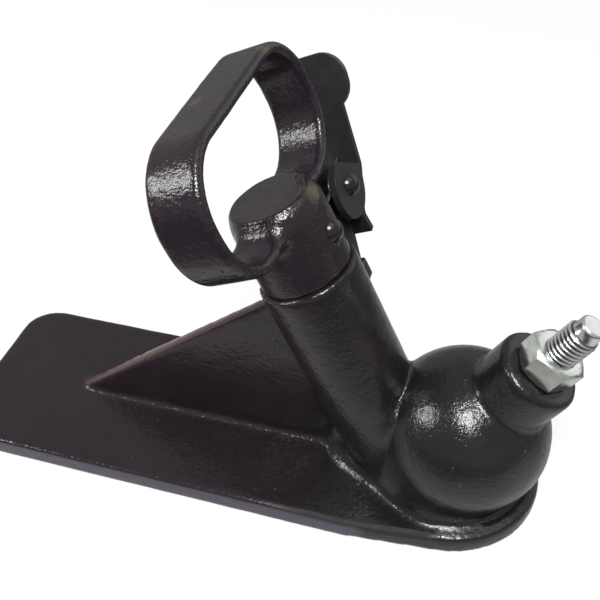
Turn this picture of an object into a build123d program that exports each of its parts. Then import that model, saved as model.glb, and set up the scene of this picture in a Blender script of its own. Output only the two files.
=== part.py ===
# Trailer coupling head: cast body for a 50 mm ball, with a lift-up spring plunger and a thumb trigger
# The origin is the centre of the ball, +X points forward to the towing vehicle and +Z up
import os
from math import asin, cos, degrees, radians, sin, tan

from build123d import *

os.makedirs("parts", exist_ok=True)

# Fits
running_fit = 0.05
thread_fit = 0.03
seat_gap = 0.3

# Ball socket and dome
ball_radius = 25.0
ball_clearance = 0.5
ball_height = 29.9
dome_wall = 6.0
entry_shift = 5.0
skirt_wall = 3.4
skirt_rise = 15.0
skirt_draft = 1.2
tail_radius = 15.8
tail_setback = 36.0
tail_rise = 13.0
tail_slope = 38.0
tail_blend = 8.0

# Plate
plate_width = 76.4
plate_thickness = 8.6
plate_rear = 204.0
plate_nose_radius = 35.0
plate_nose_setback = 4.5
plate_taper_setback = 36.0
plate_corner_radius = 14.0
plate_edge_round = 1.2

# Barrel
barrel_lean = 23.5
barrel_setback = 31.9
barrel_radius = 18.0
barrel_foot = 22.0
barrel_length = 70.4
barrel_cap = 8.0

# Rear rib
rib_thickness = 5.5
rib_tip_setback = 161.0
rib_slope = 38.6
rib_edge_round = 1.0

# Plunger and its spring
plunger_radius = 13.0
plunger_tip = 20.5
plunger_tip_chamfer = 1.5
scoop_top = 9.0
neck_radius = 8.0
neck_chamfer = 1.0
lift_travel = 19.0
spring_wire = 2.8
spring_radius = 10.6
spring_turns = 5.5

# Handle
hub_radius = 16.6
hub_height = 30.0
hub_face_radius = 13.8
hub_crown_drop = 5.6
hub_joint_round = 4.0
band_front = 8.5
band_rear = 10.4
band_thickness = 4.4
band_edge_round = 2.1
loop_half_width = 46.5
loop_top = 39.0
loop_foot = 9.6
loop_corner_radius = 22.5
handle_rivet_drop = 17.0
rivet_spot_depth = 0.6
hub_cover = 6.2

# Round-headed rivets
rivet_radius = 3.0
rivet_head_radius = 4.4
rivet_head_height = 3.2

# Trigger
pivot_out = 36.2
pivot_drop = 22.2
trigger_half_width = 10.0
trigger_sheet = 2.5
cheek_radius = 12.3
cheek_tilt = 13.3
cheek_corner = 3.0
web_drop = 9.75
channel_lean = 47.8
channel_length = 19.0
stem_lean = 17.5
stem_length = 21.0
lip_length = 8.2
lip_flare = 10.0
paddle_half_width = 14.5
paddle_height = 21.2
paddle_corner = 9.5
channel_below = 8.6
bend_radius = 4.0
dart_web = 9.0
dart_stem = 14.0
dart_half_width = 1.3
ear_rear = 7.2
ear_front = 1.4
ear_radius = 8.0
trigger_wire = 1.4
trigger_pitch = 1.5
trigger_turns = 2.0

# Catch lug on the barrel and the trigger's hook
lug_half_width = 10.0
lug_reach = 24.0
lug_top_drop = 45.5
lug_height = 8.0
hook_half_width = 4.0
hook_length = 3.0
hook_clearance = 0.5

# Adjuster screw, nut and pad
adjuster_lean = 29.6
boss_radius = 15.4
boss_reach = 45.0
boss_round = 2.0
boss_root_round = 2.5
screw_radius = 6.0
screw_show = 16.5
screw_point_radius = 4.7
screw_point_length = 4.0
screw_point_round = 1.0
nut_across_flats = 19.0
nut_height = 10.0
nut_face_share = 0.91
nut_turned = 16.0
pad_radius = 9.0
pad_thickness = 6.0

# Places worked out from the sizes above
socket_radius = ball_radius + ball_clearance
dome_radius = socket_radius + dome_wall
skirt_radius = socket_radius + skirt_wall
plate_bottom = -ball_height
plate_top = plate_bottom + plate_thickness
lean_sin = sin(radians(barrel_lean))
lean_cos = cos(radians(barrel_lean))
barrel_axis = Vector(-lean_sin, 0, lean_cos)
barrel_front = Vector(lean_cos, 0, lean_sin)
barrel_plane = Plane(origin=(-barrel_setback, 0, 0), x_dir=barrel_front, z_dir=barrel_axis)
ball_offset = barrel_setback * lean_cos
barrel_foot_x = -barrel_setback - plate_top * lean_sin / lean_cos
bore_radius = plunger_radius + running_fit
bore_top = barrel_length - barrel_cap
hub_seat = barrel_length + seat_gap
hub_top = hub_seat + hub_height
neck_top = hub_top - hub_cover - seat_gap
closed_coil = (spring_turns + 1) * spring_wire
plunger_shoulder = bore_top - closed_coil - lift_travel
handle_grip = hub_radius - rivet_spot_depth
loop_origin = barrel_plane.origin + barrel_axis * hub_top
loop_plane = Plane(origin=loop_origin, x_dir=(0, 1, 0), z_dir=barrel_front)
adjuster_axis = Vector(sin(radians(adjuster_lean)), 0, cos(radians(adjuster_lean)))
adjuster_side = Vector(adjuster_axis.Z, 0, -adjuster_axis.X)
adjuster_plane = Plane(origin=(0, 0, 0), x_dir=adjuster_side, z_dir=adjuster_axis)
adjuster_section = Plane(origin=(0, 0, 0), x_dir=adjuster_side, z_dir=(0, -1, 0))
pad_back = socket_radius + pad_thickness
screw_reach = boss_reach + nut_height + screw_show
barrel_section = Plane(origin=barrel_plane.origin, x_dir=barrel_front, z_dir=(0, -1, 0))
barrel_line = Axis(barrel_plane.origin, barrel_axis)
along_barrel = Axis((0, 0, 0), barrel_axis)
across_band = Axis((0, 0, 0), barrel_front)
along_screw = Axis((0, 0, 0), adjuster_axis)

# Cast body: plate, dome, barrel, rib, boss and lug, hollowed for the ball, plunger and screw
rib_rise = tan(radians(rib_slope))
ridge_height = plate_top + rib_rise * (rib_tip_setback - barrel_setback)
ridge_end_z = ridge_height / (1 + rib_rise * lean_sin / lean_cos)
ridge_end_x = -barrel_setback - ridge_end_z * lean_sin / lean_cos
ridge_line = Axis((0, 0, 0), (cos(radians(rib_slope)), 0, sin(radians(rib_slope))))
with BuildPart() as coupling_body:
    with BuildSketch(Plane.XY.offset(plate_bottom)) as plate_outline:
        with Locations((-(plate_rear + plate_taper_setback) / 2, 0)):
            Rectangle(plate_rear - plate_taper_setback, plate_width)
        with Locations((-plate_nose_setback, 0)):
            Circle(plate_nose_radius)
        make_hull()
        fillet(plate_outline.vertices().group_by(Axis.X)[0], plate_corner_radius)
    extrude(amount=plate_thickness)
    fillet(coupling_body.faces().filter_by(Axis.Z).edges(), plate_edge_round)
    Sphere(dome_radius, arc_size1=degrees(asin(plate_top / dome_radius)), align=Align.NONE)
    with Locations((-entry_shift, 0, plate_top + skirt_rise / 2)):
        Cone(skirt_radius, skirt_radius - skirt_draft, skirt_rise)
    with BuildSketch(Plane.XY.offset(plate_top)):
        with Locations((-entry_shift, 0)):
            Circle(skirt_radius)
        with Locations((-tail_setback, 0)):
            Circle(tail_radius)
        make_hull()
    extrude(amount=tail_rise, taper=tail_slope)
    with BuildSketch(barrel_plane.offset(-barrel_foot)):
        Circle(barrel_radius)
    extrude(amount=barrel_foot + barrel_length)
    with BuildSketch(Plane.XZ):
        Polygon(
            (-rib_tip_setback, plate_top),
            (barrel_foot_x, plate_top),
            (ridge_end_x, ridge_end_z),
            align=None,
        )
    extrude(amount=rib_thickness / 2, both=True)
    fillet(coupling_body.edges().filter_by(ridge_line), rib_edge_round)
    fillet(coupling_body.edges().filter_by(GeomType.HYPERBOLA), tail_blend)
    with BuildSketch(adjuster_plane.offset(dome_radius / 2)):
        Circle(boss_radius)
    extrude(amount=boss_reach - dome_radius / 2)
    fillet(coupling_body.edges(Select.NEW), boss_root_round)
    boss_end = coupling_body.faces().filter_by(along_screw).sort_by(along_screw)[-1]
    fillet(boss_end.edges(), boss_round)
    with BuildSketch(loop_plane):
        with Locations((lug_reach / 2, -lug_top_drop - lug_height / 2)):
            Rectangle(lug_reach, lug_height)
    extrude(amount=lug_half_width, both=True)
    # Hollow for the ball: straight way in from below, then forward into the round seat
    with Locations((-entry_shift, 0, plate_bottom / 2)):
        Cylinder(socket_radius, -plate_bottom, mode=Mode.SUBTRACT)
    with Locations((-entry_shift / 2, 0, 0)):
        Cylinder(socket_radius, entry_shift, rotation=(0, 90, 0), mode=Mode.SUBTRACT)
    with Locations((0, 0, 0), (-entry_shift, 0, 0)):
        Sphere(socket_radius, mode=Mode.SUBTRACT)
    with BuildSketch(barrel_plane.offset(bore_top)):
        Circle(bore_radius)
    extrude(amount=-2 * bore_top, mode=Mode.SUBTRACT)
    with BuildSketch(barrel_plane.offset(bore_top)):
        Circle(neck_radius + running_fit)
    extrude(amount=2 * barrel_cap, mode=Mode.SUBTRACT)
    with BuildSketch(adjuster_plane):
        Circle(pad_radius + running_fit)
    extrude(amount=pad_back, mode=Mode.SUBTRACT)
    with BuildSketch(adjuster_plane):
        Circle(screw_radius + thread_fit)
    extrude(amount=2 * boss_reach, mode=Mode.SUBTRACT)
coupling_body.part.label = "coupling_body"
export_step(coupling_body.part, "parts/coupling_body.step")

# Plunger: round bolt hollowed along its front for the ball, with a neck up into the handle
with BuildPart() as plunger:
    with BuildSketch(barrel_plane.offset(-plunger_tip)):
        Circle(plunger_radius)
    extrude(amount=plunger_tip + plunger_shoulder)
    chamfer(plunger.faces().sort_by(along_barrel)[0].edges(), plunger_tip_chamfer)
    with BuildSketch(barrel_plane.offset(plunger_shoulder)):
        Circle(neck_radius)
    extrude(amount=neck_top - plunger_shoulder)
    chamfer(plunger.faces().sort_by(along_barrel)[-1].edges(), neck_chamfer)
    with BuildSketch(barrel_plane.offset(scoop_top)):
        with Locations((ball_offset, 0)):
            Circle(socket_radius)
    extrude(amount=-2 * plunger_tip - scoop_top, mode=Mode.SUBTRACT)
    with BuildSketch(loop_plane):
        with Locations((0, -handle_rivet_drop)):
            Circle(rivet_radius + running_fit)
    extrude(amount=plunger_radius, both=True, mode=Mode.SUBTRACT)
plunger.part.label = "plunger"
export_step(plunger.part, "parts/plunger.step")

# Plunger spring: plain coil between the plunger's shoulder and the barrel's cap
coil_height = bore_top - plunger_shoulder - spring_wire
coil_pitch = coil_height / spring_turns
coil_foot = barrel_plane.origin + barrel_axis * (plunger_shoulder + spring_wire / 2)
with BuildPart() as plunger_spring:
    with BuildLine() as coil:
        Helix(coil_pitch, coil_height, spring_radius, center=coil_foot, direction=barrel_axis)
    with BuildSketch(Plane(origin=coil.line @ 0, z_dir=coil.line % 0)):
        Circle(spring_wire / 2)
    sweep(path=coil.line, is_frenet=True)
plunger_spring.part.label = "plunger_spring"
export_step(plunger_spring.part, "parts/plunger_spring.step")

# Handle: flat band loop across the top of a round hub, with an ear for the trigger
loop_height = loop_top + loop_foot
loop_middle = (loop_top - loop_foot) / 2
crown_foot = (hub_radius, hub_top - hub_crown_drop)
crown_edge = (hub_face_radius, hub_top)
with BuildPart() as handle:
    with BuildSketch(loop_plane.offset(-band_rear)):
        with Locations((0, loop_middle)):
            RectangleRounded(2 * loop_half_width, loop_height, loop_corner_radius)
            RectangleRounded(
                2 * (loop_half_width - band_thickness),
                loop_height - 2 * band_thickness,
                loop_corner_radius - band_thickness,
                mode=Mode.SUBTRACT,
            )
    extrude(amount=band_rear + band_front)
    fillet(handle.faces().filter_by(across_band).edges(), band_edge_round)
    with BuildSketch(barrel_section):
        with BuildLine():
            Polyline((0, hub_top), (0, hub_seat), (hub_radius, hub_seat), crown_foot)
            TangentArc(crown_foot, crown_edge, tangent=(0, 1))
            Line(crown_edge, (0, hub_top))
        make_face()
    revolve(axis=barrel_line)
    fillet(handle.edges(Select.NEW), hub_joint_round)
    with BuildSketch(loop_plane.offset(-ear_rear)):
        with Locations((pivot_out, -pivot_drop)):
            Circle(ear_radius)
        with Locations((hub_radius / 2, -pivot_drop + ear_radius / 2)):
            Rectangle(hub_radius / 2, 2 * ear_radius)
        make_hull()
    extrude(amount=ear_rear + ear_front)
    with BuildSketch(barrel_plane.offset(hub_seat)):
        Circle(neck_radius + running_fit)
    extrude(amount=hub_height - hub_cover, mode=Mode.SUBTRACT)
    with BuildSketch(loop_plane):
        with Locations((0, -handle_rivet_drop), (pivot_out, -pivot_drop)):
            Circle(rivet_radius + running_fit)
    extrude(amount=2 * hub_radius, both=True, mode=Mode.SUBTRACT)
    for spot_start in (handle_grip, -handle_grip - hub_radius):
        with BuildSketch(loop_plane.offset(spot_start)):
            with Locations((0, -handle_rivet_drop)):
                Circle(rivet_head_radius + running_fit)
        extrude(amount=hub_radius, mode=Mode.SUBTRACT)
handle.part.label = "handle"
export_step(handle.part, "parts/handle.step")

# Trigger: pressed channel on a rivet, with a paddle above, a lip below and a hook towards the barrel
channel_run = Vector(sin(radians(channel_lean)), cos(radians(channel_lean)))
channel_out = Vector(channel_run.Y, -channel_run.X)
stem_run = Vector(sin(radians(stem_lean)), cos(radians(stem_lean)))
pivot = Vector(pivot_out, -pivot_drop)
web_foot = pivot + channel_out * web_drop - channel_run * channel_below
web_bend = web_foot + channel_run * channel_length
dart_foot = web_bend - channel_run * dart_web
dart_top = web_bend + stem_run * dart_stem
paddle_foot = web_bend + stem_run * stem_length
paddle_top = paddle_foot + stem_run * paddle_height
lip_run = Vector(sin(radians(lip_flare)), -cos(radians(lip_flare)))
lip_end = web_foot + lip_run * lip_length
cheek_cut = Location(web_bend, 180 - channel_lean + cheek_tilt)
hook_drop = lug_top_drop + lug_height + hook_clearance + trigger_sheet / 2
hook_nose = Vector(lug_reach + hook_clearance, -hook_drop)
hook_heel = hook_nose + Vector(hook_length, 0)
paddle_plane = Plane(
    origin=loop_plane.from_local_coords(paddle_foot),
    x_dir=barrel_front,
    z_dir=barrel_front.cross(loop_plane.x_dir * stem_run.X + barrel_axis * stem_run.Y),
)
with BuildPart() as trigger:
    with BuildSketch(loop_plane):
        with BuildLine():
            FilletPolyline(lip_end, web_foot, web_bend, paddle_top, radius=bend_radius)
        trace(line_width=trigger_sheet)
    extrude(amount=paddle_half_width, both=True)
    with BuildSketch(paddle_plane):
        with Locations((0, paddle_height / 2)):
            RectangleRounded(2 * paddle_half_width, paddle_height, paddle_corner)
        with Locations((0, paddle_corner - stem_length * 2)):
            Rectangle(2 * trigger_half_width, stem_length * 4)
    extrude(amount=2 * channel_length, both=True, mode=Mode.INTERSECT)
    for cheek_start in (trigger_half_width - trigger_sheet, -trigger_half_width):
        with BuildSketch(loop_plane.offset(cheek_start)) as cheek:
            with Locations(pivot):
                Circle(cheek_radius)
            with BuildLine():
                Line(web_foot, web_bend)
            make_hull()
            with Locations(cheek_cut):
                Rectangle(
                    4 * cheek_radius,
                    2 * cheek_radius,
                    align=(Align.CENTER, Align.MAX),
                    mode=Mode.SUBTRACT,
                )
            fillet(cheek.vertices().sort_by(Axis.Y)[-1], cheek_corner)
            with Locations(pivot):
                Circle(rivet_radius + running_fit, mode=Mode.SUBTRACT)
        extrude(amount=trigger_sheet)
    with BuildSketch(loop_plane):
        Polygon(dart_foot, web_bend, dart_top, align=None)
    extrude(amount=dart_half_width, both=True)
    with BuildSketch(loop_plane):
        with BuildLine():
            FilletPolyline(web_foot, hook_heel, hook_nose, radius=trigger_sheet)
        trace(line_width=trigger_sheet)
    extrude(amount=hook_half_width, both=True)
trigger.part.label = "trigger"
export_step(trigger.part, "parts/trigger.step")

# Trigger spring: two turns on the trigger's rivet, one leg against the stem and one towards the hub
coil_radius = rivet_radius + trigger_wire / 2 + seat_gap
coil_lift = ear_front + trigger_wire / 2 + 3 * seat_gap
coil_start = loop_plane.from_local_coords(Vector(pivot.X, pivot.Y, coil_lift))
stem_reach = web_bend.X - pivot.X + (pivot.Y + coil_radius - web_bend.Y) * stem_run.X / stem_run.Y
stem_leg = stem_reach - (trigger_sheet + trigger_wire) / 2 / stem_run.Y
hub_leg = pivot_out - hub_radius - trigger_wire
with BuildPart() as trigger_spring:
    with BuildLine() as spring_path:
        spring_coil = Helix(
            trigger_pitch,
            trigger_turns * trigger_pitch,
            coil_radius,
            center=coil_start,
            direction=barrel_front,
        )
        stem_end = spring_coil @ 0 - spring_coil % 0 * stem_leg
        hub_end = spring_coil @ 1 + spring_coil % 1 * hub_leg
        Line(stem_end, spring_coil @ 0)
        Line(spring_coil @ 1, hub_end)
    with BuildSketch(Plane(origin=stem_end, z_dir=spring_coil % 0)):
        Circle(trigger_wire / 2)
    sweep(path=spring_path.wire())
trigger_spring.part.label = "trigger_spring"
export_step(trigger_spring.part, "parts/trigger_spring.step")

# Round-headed rivets: one holds the plunger's neck in the handle's hub, one carries the trigger
rivet_places = {
    "handle_rivet": (Vector(0, -handle_rivet_drop), handle_grip),
    "trigger_rivet": (pivot, trigger_half_width),
}
for rivet_name, (place, half_grip) in rivet_places.items():
    rivet_plane = Plane(origin=loop_plane.from_local_coords(place), x_dir=(0, 1, 0), z_dir=-barrel_axis)
    head_edge = (rivet_head_radius, half_grip)
    head_top = (0, half_grip + rivet_head_height)
    with BuildPart() as rivet:
        with BuildSketch(rivet_plane):
            with BuildLine():
                Polyline((0, 0), (rivet_radius, 0), (rivet_radius, half_grip), head_edge)
                TangentArc(head_top, head_edge, tangent=(1, 0))
                Line(head_top, (0, 0))
            make_face()
            mirror(about=Plane.XZ)
        revolve(axis=Axis(rivet_plane.origin, barrel_front))
    rivet.part.label = rivet_name
    export_step(rivet.part, "parts/" + rivet_name + ".step")

# Adjuster screw with a plain point at its outer end
with BuildPart() as adjuster_screw:
    with BuildSketch(adjuster_plane.offset(pad_back)):
        Circle(screw_radius)
    extrude(amount=screw_reach - screw_point_length - pad_back)
    chamfer(adjuster_screw.faces().sort_by(along_screw)[-1].edges(), screw_radius - screw_point_radius)
    with BuildSketch(adjuster_plane.offset(screw_reach - screw_point_length)):
        Circle(screw_point_radius)
    extrude(amount=screw_point_length)
    fillet(adjuster_screw.faces().sort_by(along_screw)[-1].edges(), screw_point_round)
adjuster_screw.part.label = "adjuster_screw"
export_step(adjuster_screw.part, "parts/adjuster_screw.step")

# Lock nut: hexagon with both ends of its corners turned off at 30 degrees
nut_face_radius = nut_face_share * nut_across_flats / 2
nut_corner_radius = nut_across_flats / 2 / cos(radians(30))
nut_corner_drop = (nut_corner_radius - nut_face_radius) * tan(radians(30))
with BuildPart() as lock_nut:
    with BuildSketch(adjuster_plane.offset(boss_reach)):
        RegularPolygon(nut_across_flats / 2, 6, major_radius=False, rotation=-nut_turned)
        Circle(screw_radius + thread_fit, mode=Mode.SUBTRACT)
    extrude(amount=nut_height)
    with BuildSketch(adjuster_section):
        with Locations((0, boss_reach)):
            Polygon(
                (0, 0),
                (nut_face_radius, 0),
                (nut_corner_radius, nut_corner_drop),
                (nut_corner_radius, nut_height - nut_corner_drop),
                (nut_face_radius, nut_height),
                (0, nut_height),
                align=None,
            )
    revolve(axis=along_screw, mode=Mode.INTERSECT)
lock_nut.part.label = "lock_nut"
export_step(lock_nut.part, "parts/lock_nut.step")

# Ball pad: disc behind the screw, hollowed to the ball
with BuildPart() as ball_pad:
    with BuildSketch(adjuster_section):
        with Locations((pad_radius / 2, pad_back / 2)):
            Rectangle(pad_radius, pad_back)
        Circle(socket_radius, mode=Mode.SUBTRACT)
    revolve(axis=along_screw)
ball_pad.part.label = "ball_pad"
export_step(ball_pad.part, "parts/ball_pad.step")
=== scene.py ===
from math import atan2, cos, pi, radians, sin

import bmesh
import bpy
from mathutils import Matrix, Vector
from mathutils import noise as lumps
from mathutils.bvhtree import BVHTree


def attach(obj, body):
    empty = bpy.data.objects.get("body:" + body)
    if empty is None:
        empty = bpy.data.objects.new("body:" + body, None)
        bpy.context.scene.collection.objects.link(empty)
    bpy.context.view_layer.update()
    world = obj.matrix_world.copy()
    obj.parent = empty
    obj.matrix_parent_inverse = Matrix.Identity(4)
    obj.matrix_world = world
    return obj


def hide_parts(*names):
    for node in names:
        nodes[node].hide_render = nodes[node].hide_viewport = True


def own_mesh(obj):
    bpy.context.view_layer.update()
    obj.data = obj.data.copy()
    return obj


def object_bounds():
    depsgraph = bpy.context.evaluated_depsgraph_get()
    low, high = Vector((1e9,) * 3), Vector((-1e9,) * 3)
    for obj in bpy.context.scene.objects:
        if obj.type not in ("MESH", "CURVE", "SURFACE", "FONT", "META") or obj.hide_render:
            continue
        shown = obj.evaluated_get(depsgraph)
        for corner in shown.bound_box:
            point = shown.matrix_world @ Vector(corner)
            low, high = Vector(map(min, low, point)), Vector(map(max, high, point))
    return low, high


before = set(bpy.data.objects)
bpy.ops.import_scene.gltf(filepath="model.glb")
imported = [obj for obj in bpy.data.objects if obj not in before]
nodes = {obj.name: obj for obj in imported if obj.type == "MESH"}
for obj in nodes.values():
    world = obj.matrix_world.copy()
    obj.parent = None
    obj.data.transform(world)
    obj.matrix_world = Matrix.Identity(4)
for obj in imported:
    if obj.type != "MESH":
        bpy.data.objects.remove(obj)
cad_low, cad_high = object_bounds()
scene = bpy.context.scene

# Places shared with the solids, in metres, measured from the ball's centre
ball_centre = Vector((0, 0, 0))
upright = Vector((0, 0, 1))
plate_top = -0.0213
taper_start = -0.036
taper_share = 0.1
dome_radius = 0.0315
entry_x = -0.005
skirt_radius = 0.0289
tail_x = -0.036
tail_radius = 0.0158
tail_slope = radians(38)
rib_tip = Vector((-0.161, 0, plate_top))
rib_side = 0.00275
rib_slope = radians(38.6)
rib_normal = Vector((-sin(rib_slope), 0, cos(rib_slope)))
barrel_lean = radians(23.5)
barrel_axis = Vector((-sin(barrel_lean), 0, cos(barrel_lean)))
barrel_front = Vector((cos(barrel_lean), 0, sin(barrel_lean)))
barrel_foot = Vector((-0.0319, 0, 0))
barrel_radius = 0.018
cap_height = 0.0624
hub_height = 0.1007
hub_top = barrel_foot + barrel_axis * hub_height
adjuster_lean = radians(29.6)
adjuster_axis = Vector((sin(adjuster_lean), 0, cos(adjuster_lean)))
ball_hollow = 0.0268
plunger_hollow = 0.0145
weld_gap = 2e-6


# Pieces
def turned_to(axis, origin=ball_centre):
    """Matrix that stands a shape made along +Z on an axis through a point."""
    return Matrix.Translation(origin) @ axis.to_track_quat("Z", "Y").to_matrix().to_4x4()


def merged_copy(node_name):
    """Copy of a solid's triangles with the doubled corners merged."""
    shape = bmesh.new()
    shape.from_mesh(nodes[node_name].data)
    bmesh.ops.remove_doubles(shape, verts=shape.verts[:], dist=weld_gap)
    return shape


def finished_mesh(shape, name, material, sharp_angle):
    """Mesh of a shape in one material, shaded smooth up to an angle in degrees."""
    mesh = bpy.data.meshes.new(name)
    shape.to_mesh(mesh)
    shape.free()
    mesh.materials.clear()
    mesh.materials.append(material)
    mesh.polygons.foreach_set("use_smooth", [True] * len(mesh.polygons))
    mesh.set_sharp_from_angle(angle=radians(sharp_angle))
    return mesh


def add_piece(name, mesh, body, stands_for):
    """Links a finished mesh as a piece that rides on a body in place of a solid."""
    piece = bpy.data.objects.new(name, mesh)
    scene.collection.objects.link(piece)
    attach(piece, body)
    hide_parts(stands_for)
    return piece


# Nodes of a material
def node(tree, kind, **values):
    """New node with its settings."""
    made = tree.nodes.new(kind)
    for key, value in values.items():
        setattr(made, key, value)
    return made


def put(made, **values):
    """Sets a node's inputs by name."""
    for key, value in values.items():
        made.inputs[key.replace("_", " ")].default_value = value
    return made


def own_place(tree):
    """Place of a spot in the object's own coordinates."""
    return node(tree, "ShaderNodeTexCoord").outputs["Object"]


def own_parts(tree):
    """X, Y and Z of a spot in the object's own coordinates."""
    parts = node(tree, "ShaderNodeSeparateXYZ")
    tree.links.new(own_place(tree), parts.inputs[0])
    return parts.outputs


def mapped_place(tree, shift=(0, 0, 0), turn=(0, 0, 0), stretch=(1, 1, 1)):
    """Own coordinates moved, turned and stretched for a pattern."""
    mapping = node(tree, "ShaderNodeMapping")
    put(mapping, Location=shift, Rotation=turn, Scale=stretch)
    tree.links.new(own_place(tree), mapping.inputs["Vector"])
    return mapping.outputs["Vector"]


def noise(tree, coordinates, scale, detail, roughness):
    """Cloudy pattern between 0 and 1."""
    made = node(tree, "ShaderNodeTexNoise")
    put(made, Scale=scale, Detail=detail, Roughness=roughness)
    tree.links.new(coordinates, made.inputs["Vector"])
    return made.outputs["Fac"]


def ramp(tree, value, low, high, to_low=0.0, to_high=1.0):
    """Smooth step of a value from one range to another."""
    made = node(tree, "ShaderNodeMapRange", interpolation_type="SMOOTHSTEP")
    put(made, From_Min=low, From_Max=high, To_Min=to_low, To_Max=to_high)
    tree.links.new(value, made.inputs["Value"])
    return made.outputs["Result"]


def combined(tree, operation, first, second=0.0):
    """Sum, product or the like of two values, each a number or a socket."""
    made = node(tree, "ShaderNodeMath", operation=operation)
    for socket, value in zip(made.inputs, (first, second)):
        if isinstance(value, (int, float)):
            socket.default_value = value
        else:
            tree.links.new(value, socket)
    return made.outputs[0]


def product(tree, first, *others):
    """Product of several values."""
    for value in others:
        first = combined(tree, "MULTIPLY", first, value)
    return first


def vector_result(tree, operation, place, other=None):
    """Outputs of a vector operation on a place, with a fixed vector where it needs one."""
    made = node(tree, "ShaderNodeVectorMath", operation=operation)
    tree.links.new(place, made.inputs[0])
    if other is not None:
        made.inputs[1].default_value = other
    return made.outputs


def mix_colour(tree, share, first, second):
    """Colour between two others, each a triple or a socket."""
    made = node(tree, "ShaderNodeMix", data_type="RGBA")
    share_socket, first_socket, second_socket = made.inputs[0], made.inputs[6], made.inputs[7]
    tree.links.new(share, share_socket)
    for socket, value in ((first_socket, first), (second_socket, second)):
        if isinstance(value, tuple):
            socket.default_value = (*value, 1)
        else:
            tree.links.new(value, socket)
    return made.outputs[2]


def bumped(tree, shader, height, depth):
    """Relief of a height pattern, with its full depth in metres."""
    bump = node(tree, "ShaderNodeBump")
    put(bump, Strength=1.0, Distance=depth)
    tree.links.new(height, bump.inputs["Height"])
    tree.links.new(bump.outputs["Normal"], shader.inputs["Normal"])


def new_material(name):
    """Material with its node tree and its shader."""
    made = bpy.data.materials.new(name)
    made.use_nodes = True
    return made, made.node_tree, made.node_tree.nodes["Principled BSDF"]


def new_group(name, values, results):
    """Shader node group that takes coordinates and values, with the sockets of its two ends."""
    tree = bpy.data.node_groups.new(name, "ShaderNodeTree")
    tree.interface.new_socket("Coordinates", in_out="INPUT", socket_type="NodeSocketVector")
    for title, value in values.items():
        socket = tree.interface.new_socket(title, in_out="INPUT", socket_type="NodeSocketFloat")
        socket.default_value = value
    for title in results:
        tree.interface.new_socket(title, in_out="OUTPUT", socket_type="NodeSocketFloat")
    return tree, node(tree, "NodeGroupInput").outputs, node(tree, "NodeGroupOutput").inputs


# Sand-cast relief under paint: broad waves, orange peel, fine grit and stray pimples
def make_cast_relief():
    tree, given, out = new_group(
        "cast relief", {"Peel": 0.5, "Grit": 0.2, "Pimples": 0.5}, ("Height", "Worn", "Gloss")
    )
    at = given["Coordinates"]
    wave_height = 1.5
    pimple_height = 2.2
    pimple_reach = (0.16, 0.02)
    pimple_patches = (0.48, 0.62)
    worn_patches = (0.42, 0.75)
    gloss_patches = (0.3, 0.7)
    waves = noise(tree, at, scale=70, detail=2, roughness=0.5)
    peel = noise(tree, at, scale=600, detail=3, roughness=0.5)
    grit = noise(tree, at, scale=1750, detail=1, roughness=0.5)
    where = noise(tree, at, scale=75, detail=2, roughness=0.5)
    cells = put(node(tree, "ShaderNodeTexVoronoi", feature="F1"), Scale=260.0, Randomness=1.0)
    tree.links.new(at, cells.inputs["Vector"])
    dots = ramp(tree, cells.outputs["Distance"], *pimple_reach)
    dots = product(tree, dots, ramp(tree, where, *pimple_patches), given["Pimples"], pimple_height)
    height = product(tree, waves, wave_height)
    height = combined(tree, "ADD", height, product(tree, peel, given["Peel"]))
    height = combined(tree, "ADD", height, product(tree, grit, given["Grit"]))
    height = combined(tree, "ADD", height, dots)
    worn = noise(tree, at, scale=30, detail=4, roughness=0.6)
    gloss = noise(tree, at, scale=150, detail=3, roughness=0.6)
    tree.links.new(height, out["Height"])
    tree.links.new(ramp(tree, worn, *worn_patches), out["Worn"])
    tree.links.new(ramp(tree, gloss, *gloss_patches), out["Gloss"])
    return tree


# Faint streaks and cloudy patches of plated or turned steel
def make_bright_steel():
    tree, given, out = new_group("bright steel", {"Grain": 500.0}, ("Height", "Clouds", "Streaks"))
    at = given["Coordinates"]
    cloud_patches = (0.3, 0.7)
    streak_lines = (0.25, 0.75)
    clouds = noise(tree, at, scale=160, detail=3, roughness=0.6)
    streaks = put(node(tree, "ShaderNodeTexNoise"), Detail=4.0, Roughness=0.65)
    tree.links.new(at, streaks.inputs["Vector"])
    tree.links.new(given["Grain"], streaks.inputs["Scale"])
    tree.links.new(streaks.outputs["Fac"], out["Height"])
    tree.links.new(ramp(tree, clouds, *cloud_patches), out["Clouds"])
    tree.links.new(ramp(tree, streaks.outputs["Fac"], *streak_lines), out["Streaks"])
    return tree


cast_relief = make_cast_relief()
bright_steel = make_bright_steel()

# Where the body's paint is rubbed, and where painted highlight and painted reflection lighten it, each
# range from none to full, in metres
ridge_skin = (0.0011, 0.0004)
ridge_side = (0.0033, 0.0027)
ridge_front = (-0.06, -0.075)
ridge_level = (-0.0207, -0.0192)
edge_side = (0.0373, 0.0379)
edge_level = (-0.0222, -0.0231)
lip_side = (0.0355, 0.037)
lip_level = (-0.0245, -0.0235)
lip_rear = (-0.078, -0.05)
lip_front = (0.0, -0.007)


def near_stains(tree, stains):
    """Ragged patches round a few places, 1 in their middle and 0 away from them."""
    rim = 1.5
    core = 0.5
    coordinates = own_place(tree)
    ragged = noise(tree, coordinates, scale=420, detail=3, roughness=0.6)
    total = 0.0
    for place, size in stains:
        gap = vector_result(tree, "DISTANCE", coordinates, place)["Value"]
        gap = combined(tree, "ADD", gap, product(tree, ragged, size))
        total = combined(tree, "MAXIMUM", ramp(tree, gap, size * rim, size * core), total)
    return total


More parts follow.
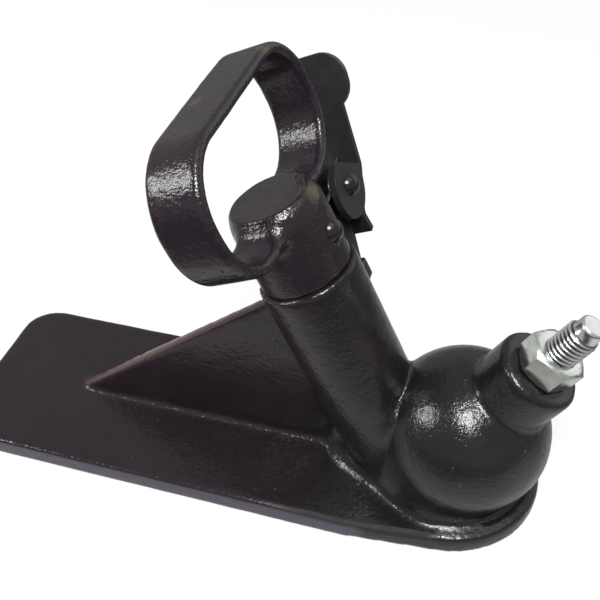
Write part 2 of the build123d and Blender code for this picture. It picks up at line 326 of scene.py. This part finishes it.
def along_ridge(tree):
    """1 on the rib's sloping top face, where painted highlight and rubbed paint go, 0 elsewhere."""
    parts = own_parts(tree)
    rise = vector_result(tree, "DOT_PRODUCT", own_place(tree), rib_normal)["Value"]
    away = combined(tree, "ABSOLUTE", combined(tree, "SUBTRACT", rise, rib_tip.dot(rib_normal)))
    aside = combined(tree, "ABSOLUTE", parts["Y"])
    on_top = product(tree, ramp(tree, away, *ridge_skin), ramp(tree, aside, *ridge_side))
    behind = ramp(tree, parts["X"], *ridge_front)
    return product(tree, on_top, behind, ramp(tree, parts["Z"], *ridge_level))


def along_edge(tree):
    """1 on the plate's two long upright edges, where painted reflection and rubbed paint go, 0 elsewhere.
    """
    parts = own_parts(tree)
    aside = combined(tree, "ABSOLUTE", parts["Y"])
    return product(tree, ramp(tree, aside, *edge_side), ramp(tree, parts["Z"], *edge_level))


def along_lip(tree):
    """1 on the plate's rounded top edges beside the barrel, 0 elsewhere."""
    parts = own_parts(tree)
    past_taper = combined(tree, "MAXIMUM", combined(tree, "SUBTRACT", parts["X"], taper_start))
    aside = combined(tree, "ABSOLUTE", parts["Y"])
    aside = combined(tree, "ADD", aside, product(tree, past_taper, taper_share))
    beside = product(tree, ramp(tree, parts["X"], *lip_rear), ramp(tree, parts["X"], *lip_front))
    return product(tree, ramp(tree, aside, *lip_side), ramp(tree, parts["Z"], *lip_level), beside)


# Paint and metal finishes
rear_x = -0.1
front_x = -0.01
worn_share = 0.6
worn_colour = (0.019, 0.0128, 0.0158)
# Painted highlight with rubbed paint: a lighter reddish colour on the rib's top face, where the light
# catches it
ridge_highlight_and_wear_colour = (0.062, 0.036, 0.034)
# Painted reflection of the pale floor, with rubbed paint: a lighter bluish grey on the plate's long
# upright sides
edge_reflection_and_wear_colour = (0.042, 0.038, 0.05)
lip_dullness = 0.6
# Painted shade: a grey mixed into the thread's roots, where the grooves fall into shade
painted_groove_shade = (0.14, 0.14, 0.15)
groove_radii = (0.0057, 0.0051)
groove_end = (0.0675, 0.0666)


def black_paint(
    name, tones, gloss, shift, peel, grit, pimples, depth, stains=(), stain_colour=None, rubbed_and_painted_light=False
):
    """Black paint with its rear and front tones, a few spots where it has stained or worn thin, and on the
    body rubbed paint with painted highlight on the rib's top and painted reflection on the plate's sides.
    """
    made, tree, shader = new_material(name)
    skin = node(tree, "ShaderNodeGroup", node_tree=cast_relief)
    put(skin, Peel=peel, Grit=grit, Pimples=pimples)
    tree.links.new(mapped_place(tree, shift=shift), skin.inputs["Coordinates"])
    colour = mix_colour(tree, ramp(tree, own_parts(tree)["X"], rear_x, front_x), *tones)
    colour = mix_colour(tree, product(tree, skin.outputs["Worn"], worn_share), colour, worn_colour)
    roughness = ramp(tree, skin.outputs["Gloss"], 0.0, 1.0, *gloss)
    if stains:
        colour = mix_colour(tree, near_stains(tree, stains), colour, stain_colour)
    # Rubbed paint with painted highlight on the rib's top, painted reflection on the plate's sides, and a
    # duller lip
    if rubbed_and_painted_light:
        colour = mix_colour(tree, along_ridge(tree), colour, ridge_highlight_and_wear_colour)
        colour = mix_colour(tree, along_edge(tree), colour, edge_reflection_and_wear_colour)
        roughness = combined(tree, "ADD", roughness, product(tree, along_lip(tree), lip_dullness))
    put(shader, Specular_IOR_Level=0.45)
    tree.links.new(colour, shader.inputs["Base Color"])
    tree.links.new(roughness, shader.inputs["Roughness"])
    bumped(tree, shader, skin.outputs["Height"], depth)
    return made


def in_shaded_grooves(tree, axis):
    """1 in the roots of a thread along an axis through the origin, where painted shade darkens them, 0 on
    its crests and past its end.
    """
    place = own_place(tree)
    across = vector_result(tree, "CROSS_PRODUCT", place, axis)["Vector"]
    radius = vector_result(tree, "LENGTH", across)["Value"]
    along = vector_result(tree, "DOT_PRODUCT", place, axis)["Value"]
    return product(tree, ramp(tree, radius, *groove_radii), ramp(tree, along, *groove_end))


def metal(name, pale, dark, roughness, grain, depth, stretch=(1, 1, 1), turn=(0, 0, 0), thread_axis=None):
    """Bare or plated steel with streaks along the work, and painted shade in the grooves of a thread."""
    made, tree, shader = new_material(name)
    skin = put(node(tree, "ShaderNodeGroup", node_tree=bright_steel), Grain=grain)
    tree.links.new(mapped_place(tree, turn=turn, stretch=stretch), skin.inputs["Coordinates"])
    colour = mix_colour(tree, skin.outputs["Clouds"], pale, dark)
    if thread_axis:
        # Painted shade in the roots of the thread
        colour = mix_colour(tree, in_shaded_grooves(tree, thread_axis), colour, painted_groove_shade)
    put(shader, Metallic=1.0)
    tree.links.new(colour, shader.inputs["Base Color"])
    tree.links.new(ramp(tree, skin.outputs["Streaks"], 0.0, 1.0, *roughness), shader.inputs["Roughness"])
    bumped(tree, shader, skin.outputs["Height"], depth)
    return made


# Places where the paint has stained, with their sizes
handle_stains = (
    ((-0.092, -0.0046, 0.1262), 0.0034),
    ((-0.0797, 0.0252, 0.1306), 0.0042),
    ((-0.0578, 0.0002, 0.0975), 0.0056),
)
boss_stains = (((0.0336, 0.0038, 0.0326), 0.0024),)
black_tones = ((0.0125, 0.0084, 0.011), (0.0077, 0.0081, 0.0075))
handle_tones = ((0.0117, 0.0086, 0.0116), (0.0117, 0.0086, 0.0116))
grey_tones = ((0.017, 0.0165, 0.0175), (0.017, 0.0165, 0.0175))
body_paint = black_paint(
    "body_paint", black_tones, gloss=(0.11, 0.19), shift=(0, 0, 0), peel=0.92, grit=0.36, pimples=1.0,
    depth=0.00022, stains=boss_stains, stain_colour=(0.075, 0.03, 0.02), rubbed_and_painted_light=True,
)
handle_paint = black_paint(
    "handle_paint", handle_tones, gloss=(0.11, 0.19), shift=(0.31, 0.07, 0.19), peel=1.1, grit=0.38,
    pimples=0.6, depth=0.00022, stains=handle_stains, stain_colour=(0.042, 0.038, 0.018),
)
trigger_paint = black_paint(
    "trigger_paint", grey_tones, gloss=(0.25, 0.38), shift=(0.11, 0.23, 0.05), peel=0.4, grit=0.2,
    pimples=0.25, depth=0.00008,
)
rivet_paint = black_paint(
    "rivet_paint", black_tones, gloss=(0.14, 0.2), shift=(0.4, 0.1, 0.3), peel=0.4, grit=0.1,
    pimples=0.0, depth=0.00006,
)
nut_zinc = metal(
    "nut_zinc", (0.85, 0.87, 0.81), (0.66, 0.7, 0.66), roughness=(0.16, 0.28), grain=420.0, depth=0.00001
)
screw_zinc = metal(
    "screw_zinc", (0.9, 0.91, 0.93), (0.78, 0.78, 0.79), roughness=(0.16, 0.26), grain=500.0,
    depth=0.000004, thread_axis=adjuster_axis,
)
turned_steel = metal(
    "turned_steel", (0.5, 0.5, 0.51), (0.36, 0.355, 0.35), roughness=(0.28, 0.45), grain=300.0,
    depth=0.00003, stretch=(1, 1, 6), turn=(0, barrel_lean, 0),
)
spring_wire = metal(
    "spring_wire", (0.2, 0.2, 0.21), (0.12, 0.115, 0.11), roughness=(0.35, 0.5), grain=600.0, depth=0.00002
)

# Castings: a fine even skin over the solid, softened and left uneven as a sand mould leaves it
lump_height = 0.00013
broad_lumps = 85
fine_lumps = 240
fine_share = 0.45
seam_lumps = 430
rounding_shrink = 0.6


def even_skin(node_name, voxel):
    """Closed skin of even small faces over a solid, and the solid itself to measure from."""
    shape = merged_copy(node_name)
    solid = BVHTree.FromBMesh(shape)
    mesh = bpy.data.meshes.new("draft")
    shape.to_mesh(mesh)
    shape.free()
    draft = bpy.data.objects.new("draft", mesh)
    scene.collection.objects.link(draft)
    skin = draft.modifiers.new("skin", "REMESH")
    skin.mode = "VOXEL"
    skin.voxel_size = voxel
    made = bpy.data.meshes.new_from_object(draft.evaluated_get(bpy.context.evaluated_depsgraph_get()))
    shape = bmesh.new()
    shape.from_mesh(made)
    bpy.data.objects.remove(draft)
    bpy.data.meshes.remove(mesh)
    bpy.data.meshes.remove(made)
    return shape, solid


def soften(shape, measure, reach, passes):
    """Rounds the skin where a measure is small, most at its middle."""
    spots = [(measure(vert.co), vert) for vert in shape.verts]
    spots = [(away, vert) for away, vert in spots if away < reach]
    for step in range(passes):
        limit = reach * (1 - rounding_shrink * step / passes)
        bmesh.ops.smooth_vert(
            shape, verts=[vert for away, vert in spots if away < limit], factor=0.5,
            use_axis_x=True, use_axis_y=True, use_axis_z=True,
        )


def kept_crisp(shape, solid, measure):
    """Puts the skin back on the solid where a measure is below zero, which keeps its edges there."""
    for vert in shape.verts:
        if measure(vert.co) < 0:
            vert.co = solid.find_nearest(vert.co)[0]


def roughen(shape, seams):
    """Leaves the skin a little uneven, and most of all along its seams."""
    shape.normal_update()
    for vert in shape.verts:
        push = lumps.noise(vert.co * broad_lumps) + fine_share * lumps.noise(vert.co * fine_lumps)
        for measure, reach, share in seams:
            near = max(0.0, 1 - measure(vert.co) / reach)
            push += share * near * lumps.noise(vert.co * seam_lumps)
        vert.co += vert.normal * push * lump_height


def kept_in_bores(shape, solid, bores):
    """Puts the skin of the guiding bores back on the solid, so that the moving pieces stay clear."""
    for vert in shape.verts:
        for origin, axis, radius, low, high in bores:
            along = (vert.co - origin).dot(axis)
            if low < along < high and (vert.co - origin - axis * along).length < radius:
                spot, normal, _, _ = solid.find_nearest(vert.co)
                if (vert.co - spot).dot(normal) > 0:
                    vert.co = spot
                break


def casting(name, node_name, body, material, voxel, passes, zones, crisp, seams, bores):
    """Cast piece: softened all over, more in its zones, crisp and true where it has to be."""
    shape, solid = even_skin(node_name, voxel)
    soften(shape, everywhere, 1.0, passes)
    for measure, reach, rounds in zones:
        soften(shape, measure, reach, rounds)
    kept_crisp(shape, solid, crisp)
    roughen(shape, seams)
    kept_in_bores(shape, solid, bores)
    add_piece(name, finished_mesh(shape, name, material, 180), body, node_name)


# Measures on the castings: how far a spot is from a place, in metres
far_off = 1.0


def everywhere(place):
    """Nought at every spot."""
    return 0.0


def nowhere(place):
    """Far off at every spot."""
    return far_off


def off_axis(place):
    """How far a spot is from the barrel's axis."""
    gap = place - barrel_foot
    return (gap - barrel_axis * gap.dot(barrel_axis)).length


def off_entry(place):
    """How far a spot is, in plan, from the middle of the ball's way in."""
    return Vector((place.x - entry_x, place.y)).length


def off_tail(place):
    """How far a spot is, in plan, outside the hull of the skirt's and the tail's circles."""
    length = entry_x - tail_x
    lean = (skirt_radius - tail_radius) / length
    rise = (1 - lean * lean) ** 0.5
    across = abs(place.y)
    along = entry_x - place.x
    share = rise * along - lean * across
    if share < 0:
        return Vector((across, along)).length - skirt_radius
    if share > rise * length:
        return Vector((across, along - length)).length - tail_radius
    return rise * across + lean * along - skirt_radius


def in_hollow(place):
    """Whether a spot lies on the wall of the ball's or the plunger's hollow."""
    way_in = Vector((place.x - entry_x, place.y, max(0.0, place.z))).length
    seat = Vector((place.x - min(0.0, max(entry_x, place.x)), place.y, place.z)).length
    return min(way_in, seat) < ball_hollow or off_axis(place) < plunger_hollow


def nose_foot(place):
    """How far a spot is from the line where the dome stands on the plate's nose."""
    if in_hollow(place):
        return far_off
    behind = max(0.0, -place.x) / 2
    return max(abs(place.z - plate_top), abs(off_entry(place) - skirt_radius)) + behind


def dome_groove(place):
    """How far a spot is from the hollow behind the dome, where it meets its skirt."""
    groove_front = -0.008
    if in_hollow(place):
        return far_off
    off_dome = abs(place.length - dome_radius)
    ahead = max(0.0, place.x - groove_front)
    return max(off_dome, abs(off_entry(place) - skirt_radius)) + ahead


def barrel_root(place):
    """How far a spot is from where the barrel runs into the slope behind the dome."""
    if in_hollow(place):
        return far_off
    off_slope = off_tail(place) * cos(tail_slope) + (place.z - plate_top) * sin(tail_slope)
    return max(abs(off_axis(place) - barrel_radius), abs(off_slope))


def tail_foot(place):
    """How far a spot is from the curved line where that slope meets the plate."""
    foot_front = -0.027
    foot_rear = tail_x - tail_radius - 0.003
    if not foot_rear < place.x < foot_front:
        return far_off
    return Vector((off_tail(place), place.z - plate_top)).length


def rib_foot(place):
    """How far a spot is from the line where the rib stands on the plate."""
    foot_front = tail_x - tail_radius
    foot_rear = rib_tip.x - 0.002
    if not foot_rear < place.x < foot_front:
        return far_off
    return Vector((abs(place.y) - rib_side, place.z - plate_top)).length


def hub_lip(place):
    """How far a spot is from where the loop's front and rear faces run into the hub."""
    lip_side_gap = 0.0154
    lip_front_gap = 0.0083
    lip_low = -0.023
    lip_high = -0.0085
    gap = place - hub_top
    rise = gap.dot(barrel_axis)
    from_hub = Vector((abs(gap.y), abs(gap.dot(barrel_front)), rise))
    return (from_hub - Vector((lip_side_gap, lip_front_gap, min(lip_high, max(lip_low, rise))))).length


def hub_valley(place):
    """How far a spot is from the hollow round the hub's crown, where the loop runs into it."""
    valley_radius = 0.0175
    valley_drop = 0.0045
    valley_side = 0.007
    drop = (hub_top - place).dot(barrel_axis)
    inside = max(0.0, valley_side - abs(place.y))
    return Vector((off_axis(place) - valley_radius, drop - valley_drop)).length + inside


def hub_crown(place):
    """Below zero on the flat disc of the hub's crown."""
    disc_radius = 0.0142
    disc_depth = 0.0012
    drop = (hub_top - place).dot(barrel_axis)
    return max(off_axis(place) - disc_radius, drop - disc_depth)


# Guiding bores: a point, an axis, a radius, and the lowest and highest place along the axis
plunger_bore = (barrel_foot, barrel_axis, plunger_hollow, -0.05, 0.08)
pad_bore = (ball_centre, adjuster_axis, 0.0098, 0.02, 0.05)
ball_bore = (ball_centre, upright, 0.0275, -0.04, 0.03)
neck_bore = (barrel_foot, barrel_axis, 0.009, 0.06, 0.1)
hub_seat = (barrel_foot, barrel_axis, 0.02, 0.06, 0.0725)

# Zones give a measure, its reach and its rounds of smoothing, and seams its reach and its lumps
casting(
    "body_casting", "coupling_body", "casting", body_paint, voxel=0.001, passes=3,
    zones=(
        (nose_foot, 0.0075, 26),
        (dome_groove, 0.009, 32),
        (barrel_root, 0.0075, 32),
        (rib_foot, 0.004, 9),
    ),
    crisp=nowhere,
    seams=((rib_foot, 0.0035, 2.4), (tail_foot, 0.003, 0.9)),
    bores=(plunger_bore, pad_bore, ball_bore),
)
casting(
    "handle_casting", "handle", "lifter", handle_paint, voxel=0.0006, passes=4,
    zones=((hub_lip, 0.0065, 70), (hub_valley, 0.0068, 60)),
    crisp=hub_crown,
    seams=(),
    bores=(neck_bore, hub_seat),
)


# Pressed trigger and lock nut: the solids with broken edges
def edged(name, node_name, body, width, material):
    """Copy of a solid with its edges broken to a width."""
    corner_angle = 35
    shape = merged_copy(node_name)
    bmesh.ops.dissolve_limit(
        shape, angle_limit=radians(1), verts=shape.verts[:], edges=shape.edges[:],
        use_dissolve_boundaries=False,
    )
    mesh = finished_mesh(shape, name, material, corner_angle)
    edge = add_piece(name, mesh, body, node_name).modifiers.new("edges", "BEVEL")
    edge.limit_method = "ANGLE"
    edge.angle_limit = radians(corner_angle)
    edge.width = width
    edge.segments = 2


edged("trigger_pressing", "trigger", "lever", 0.0004, trigger_paint)
edged("lock_nut_hexagon", "lock_nut", "nut", 0.0002, nut_zinc)

# Adjuster screw: plain shank in the boss, rolled thread, and a neck with a rounded point
thread_pitch = 0.00175
crest_radius = 0.00595
root_radius = 0.00498
thread_start = 0.0435
thread_end = 0.0672
thread_length = thread_end - thread_start
start_fade = 0.0006
end_fade = 0.0012
shank_start = 0.0315
shank_end = 0.0433
shank_radius = 0.0059
shank_chamfer = (0.0003, 0.0004)
neck_start = 0.0677
neck_radius = 0.0047
point_end = 0.0715
point_round = 0.0012
point_steps = 5
rings_per_pitch = 16
screw_sides = 72
pole_gap = 1e-7
end_slack = 1e-6


def thread_height(turn):
    """Share of the thread's depth at a share of one turn: rounded root, straight flanks, flat crest."""
    crest_half = 0.07
    flank_width = 0.33
    rounding = 0.35
    flank = min(1.0, max(0.0, (abs(turn - 0.5) - crest_half) / flank_width))
    return 1 - flank * flank * (3 - 2 * flank) * rounding - flank * (1 - rounding)


def screw_outline():
    """Half section of the screw as radii and heights, with its thread still plain."""
    rings = int(thread_length / thread_pitch * rings_per_pitch)
    outline = [
        (0.0, shank_start),
        (shank_radius - shank_chamfer[0], shank_start),
        (shank_radius, shank_start + shank_chamfer[1]),
        (shank_radius, shank_end),
    ]
    for step in range(rings + 1):
        outline.append((crest_radius, thread_start + thread_length * step / rings))
    outline.append((neck_radius, neck_start))
    for step in range(point_steps + 1):
        swing = pi / 2 * step / point_steps
        radius = neck_radius - point_round * (1 - cos(swing))
        outline.append((radius, point_end - point_round * (1 - sin(swing))))
    outline.append((0.0, point_end))
    return outline


def threaded_screw():
    """Screw turned from its outline, with the thread pressed into it."""
    shape = bmesh.new()
    verts = [shape.verts.new((radius, 0, height)) for radius, height in screw_outline()]
    edges = [shape.edges.new(pair) for pair in zip(verts, verts[1:])]
    bmesh.ops.spin(
        shape, geom=verts + edges, cent=(0, 0, 0), axis=(0, 0, 1), angle=2 * pi, steps=screw_sides,
        use_merge=True,
    )
    bmesh.ops.remove_doubles(shape, verts=shape.verts[:], dist=pole_gap)
    for vert in shape.verts:
        along = vert.co.z - thread_start
        left = thread_end - vert.co.z
        if along >= 0 and left >= -end_slack:
            turn = (along / thread_pitch - atan2(vert.co.y, vert.co.x) / (2 * pi)) % 1.0
            fade = min(1.0, max(0.0, left / end_fade), along / start_fade)
            radius = root_radius + (crest_radius - root_radius) * thread_height(turn) * fade
            vert.co.xy *= radius / vert.co.xy.length
    bmesh.ops.recalc_face_normals(shape, faces=shape.faces[:])
    bmesh.ops.transform(shape, matrix=turned_to(adjuster_axis), verts=shape.verts[:])
    mesh = finished_mesh(shape, "adjuster_screw_thread", screw_zinc, 50)
    add_piece("adjuster_screw_thread", mesh, "screw", "adjuster_screw")


threaded_screw()

# Plunger spring: round wire wound between the plunger's shoulder and the barrel's cap
wire_radius = 0.0014
wire_sides = 12
wire_clearance = 0.00002
coil_radius = 0.0106
coil_turns = 5.5
steps_per_turn = 36
shoulder_height = 0.0252


def coiled_spring():
    """Spring wound as one wire with flat ends."""
    low = shoulder_height + wire_radius
    high = cap_height - wire_radius
    steps = int(steps_per_turn * coil_turns)
    shape = bmesh.new()
    ring = bmesh.ops.create_circle(
        shape, cap_ends=False, segments=wire_sides, radius=wire_radius - wire_clearance,
        matrix=Matrix.Translation((coil_radius, 0, low)) @ Matrix.Rotation(pi / 2, 4, "X"),
    )["verts"]
    ends = bmesh.ops.spin(
        shape, geom=ring + shape.edges[:], cent=(0, 0, 0), axis=(0, 0, 1),
        dvec=(0, 0, (high - low) / steps), angle=2 * pi * coil_turns, steps=steps,
    )["geom_last"]
    last_ring = [part for part in ends if isinstance(part, bmesh.types.BMVert)]
    bmesh.ops.contextual_create(shape, geom=ring)
    bmesh.ops.contextual_create(shape, geom=last_ring)
    bmesh.ops.recalc_face_normals(shape, faces=shape.faces[:])
    bmesh.ops.transform(shape, matrix=turned_to(barrel_axis, barrel_foot), verts=shape.verts[:])
    mesh = finished_mesh(shape, "plunger_spring_coil", spring_wire, 60)
    piece = add_piece("plunger_spring_coil", mesh, "casting", "plunger_spring")
    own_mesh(piece)


coiled_spring()

# Solids that keep their shape get the finishes above
for node_name, finish in (
    ("handle_rivet", rivet_paint),
    ("trigger_rivet", rivet_paint),
    ("plunger", turned_steel),
    ("ball_pad", turned_steel),
    ("trigger_spring", spring_wire),
):
    for material_slot in nodes[node_name].material_slots:
        material_slot.material = finish

# Pale floor that keeps the shadow, white to the camera, with painted shade in its reflections
# Each range runs between two places, in metres, and gives the level at either
reflected_shade_front = (-0.03, -0.22, 0.46, 0.03)
reflected_shade_right = (-0.05, 0.35, 1.0, 0.3)
white_with_distance = (0.25, 0.9, 0.78, 1.0)
floor_gap = 0.0002
floor_reach = 3
paper_white = (0.85, 0.85, 0.85)
full_white = (1, 1, 1, 1)


def seen_directly(tree):
    """1 for what the camera sees itself, 0 for light and reflections."""
    rays = node(tree, "ShaderNodeLightPath").outputs
    return combined(tree, "MAXIMUM", rays["Is Camera Ray"], rays["Is Transmission Ray"])


def mixed_surface(tree, share, first, second, output):
    """Blends two shaders into an output node."""
    both = node(tree, "ShaderNodeMixShader")
    for socket, value in zip(both.inputs, (share, first.outputs[0], second.outputs[0])):
        tree.links.new(value, socket)
    tree.links.new(both.outputs[0], output.inputs["Surface"])


def floor_paper():
    """Paper with painted shade in its reflection, darker towards the front and the back right."""
    made, tree, shader = new_material("floor_paper")
    put(shader, Roughness=0.9, Specular_IOR_Level=0.1)
    parts = own_parts(tree)
    towards_right = combined(tree, "ADD", parts["X"], parts["Y"])
    # Painted shade: in reflections the paper darkens towards the front and the back right, as the light
    # falls off
    level = product(tree, ramp(tree, parts["Y"], *reflected_shade_front), ramp(tree, towards_right, *reflected_shade_right))
    reflected_shade = node(tree, "ShaderNodeCombineColor")
    for channel in range(3):
        tree.links.new(level, reflected_shade.inputs[channel])
    glossy = node(tree, "ShaderNodeLightPath").outputs["Is Glossy Ray"]
    paper = mix_colour(tree, glossy, paper_white, reflected_shade.outputs["Color"])
    tree.links.new(paper, shader.inputs["Base Color"])
    white = put(node(tree, "ShaderNodeEmission"), Color=full_white, Strength=1.0)
    away = vector_result(tree, "LENGTH", own_place(tree))["Value"]
    share = product(tree, seen_directly(tree), ramp(tree, away, *white_with_distance))
    mixed_surface(tree, share, shader, white, tree.nodes["Material Output"])
    return made


def make_floor():
    """Wide flat floor just below the plate."""
    shape = bmesh.new()
    level = Matrix.Translation((0, 0, cad_low.z - floor_gap))
    bmesh.ops.create_grid(shape, x_segments=1, y_segments=1, size=floor_reach, matrix=level)
    floor = bpy.data.objects.new("floor", finished_mesh(shape, "floor", floor_paper(), 180))
    scene.collection.objects.link(floor)


make_floor()

# Soft studio light: an even room with two brighter patches, and two windows
room_level = 0.4
room_patches = (
    {"towards": (0.62, 0.72, 0.3), "rim": 0.8, "core": 0.97, "gain": 0.55},
    {"towards": (0.29, 0.0, 0.96), "rim": 0.9, "core": 0.97, "gain": 1.2},
)
lamp_distance = 0.9
lamp_aim = Vector((-0.05, 0, 0.03))


def make_world():
    """Room that lights the object and is white to the camera."""
    world = bpy.data.worlds.new("room")
    scene.world = world
    world.use_nodes = True
    tree = world.node_tree
    tree.nodes.clear()
    direction = node(tree, "ShaderNodeTexCoord").outputs["Generated"]
    level = room_level
    for patch in room_patches:
        middle = Vector(patch["towards"]).normalized()
        facing = vector_result(tree, "DOT_PRODUCT", direction, middle)["Value"]
        glow = ramp(tree, facing, patch["rim"], patch["core"], 0.0, patch["gain"])
        level = combined(tree, "ADD", glow, level)
    room = put(node(tree, "ShaderNodeBackground"), Color=full_white)
    tree.links.new(level, room.inputs["Strength"])
    white = put(node(tree, "ShaderNodeBackground"), Color=full_white, Strength=1.0)
    mixed_surface(tree, seen_directly(tree), room, white, node(tree, "ShaderNodeOutputWorld"))


def soft_lamp(name, azimuth, elevation, width, height, power):
    """Rectangular window of light that faces the object."""
    turn = radians(azimuth)
    rise = radians(elevation)
    away = Vector((cos(turn) * cos(rise), sin(turn) * cos(rise), sin(rise)))
    lamp = bpy.data.lights.new(name, "AREA")
    lamp.shape = "RECTANGLE"
    lamp.size = width
    lamp.size_y = height
    lamp.energy = power
    holder = bpy.data.objects.new(name, lamp)
    holder.location = lamp_aim + away * lamp_distance
    holder.rotation_euler = away.to_track_quat("Z", "Y").to_euler()
    scene.collection.objects.link(holder)


make_world()
soft_lamp("window_above", azimuth=-76, elevation=62, width=0.29, height=0.29, power=9.0)
soft_lamp("window_left", azimuth=-155, elevation=32, width=0.24, height=0.3, power=3.4)

# Camera at the photograph's angle
camera_place = Vector((0.0099, -0.2224, 0.2613))
camera_aim = Vector((-0.0626, 0, 0.0498))
camera_roll = radians(-1.835)
camera_lens = 53.98
camera_sensor = 36


def make_camera():
    """Camera aimed at the hub and rolled a little about its own line of sight."""
    lens = bpy.data.cameras.new("camera")
    lens.sensor_width = camera_sensor
    lens.lens = camera_lens
    lens.clip_start = 0.01
    back = (camera_place - camera_aim).normalized()
    right = upright.cross(back).normalized()
    up = back.cross(right)
    across = right * cos(camera_roll) + up * sin(camera_roll)
    over = up * cos(camera_roll) - right * sin(camera_roll)
    turn = Matrix((across, over, back)).transposed()
    holder = bpy.data.objects.new("camera", lens)
    holder.matrix_world = Matrix.Translation(camera_place) @ turn.to_4x4()
    scene.collection.objects.link(holder)
    scene.camera = holder


make_camera()
scene.view_settings.view_transform = "Standard"
